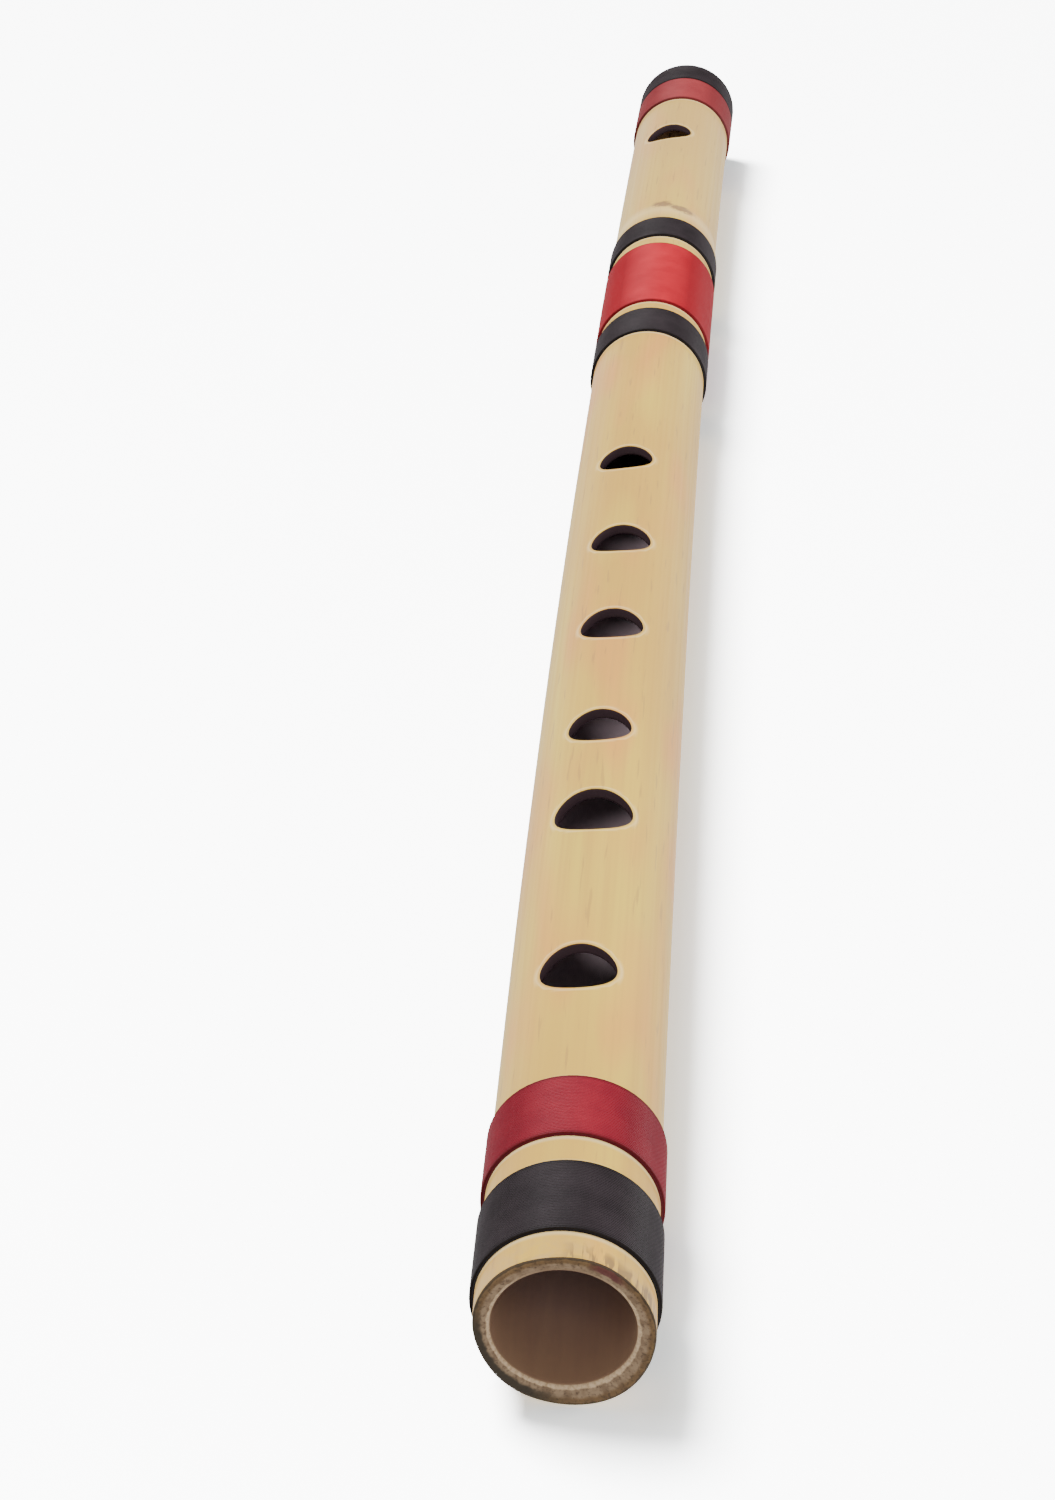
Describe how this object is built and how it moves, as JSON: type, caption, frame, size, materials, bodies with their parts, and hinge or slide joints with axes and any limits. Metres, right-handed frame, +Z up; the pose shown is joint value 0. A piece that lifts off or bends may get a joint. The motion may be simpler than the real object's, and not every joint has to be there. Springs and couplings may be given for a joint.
{
  "type": "bansuri",
  "caption": "Side-blown bamboo flute with a row of finger holes, a blow hole near its corked head end, and black and red thread windings round the tube.",
  "frame": {"origin": "centre of the flute's bounding box, on the plane that the flute lies on", "axes": "+Y along the flute from the open foot end to the head end, +Z up through the row of holes, +X to the right as seen from the foot end"},
  "size_m": [0.0255, 0.4596, 0.0233],
  "materials": {
    "bamboo": "straw-coloured cane under a thin satin lacquer, fine lengthwise fibres",
    "black_thread": "close-laid fine black thread with a satin sheen",
    "red_thread": "close-laid fine red thread with a satin sheen",
    "cork": "matt natural cork with small dark pores"
  },
  "bodies": {
    "flute": {"bamboo_tube": "bamboo", "foot_black_winding": "black_thread", "foot_red_winding": "red_thread", "middle_foot_side_black_winding": "black_thread", "middle_red_winding": "red_thread", "middle_head_side_black_winding": "black_thread", "head_red_winding": "red_thread", "head_black_winding": "black_thread"},
    "stopper": {"cork_stopper": "cork"}
  },
  "joints": [
    {"name": "stopper_slide", "type": "slide", "parent": "flute", "child": "stopper", "axis": [0.0181, 0.9998, 0], "range_m": [-0.003, 0.003]}
  ]
}
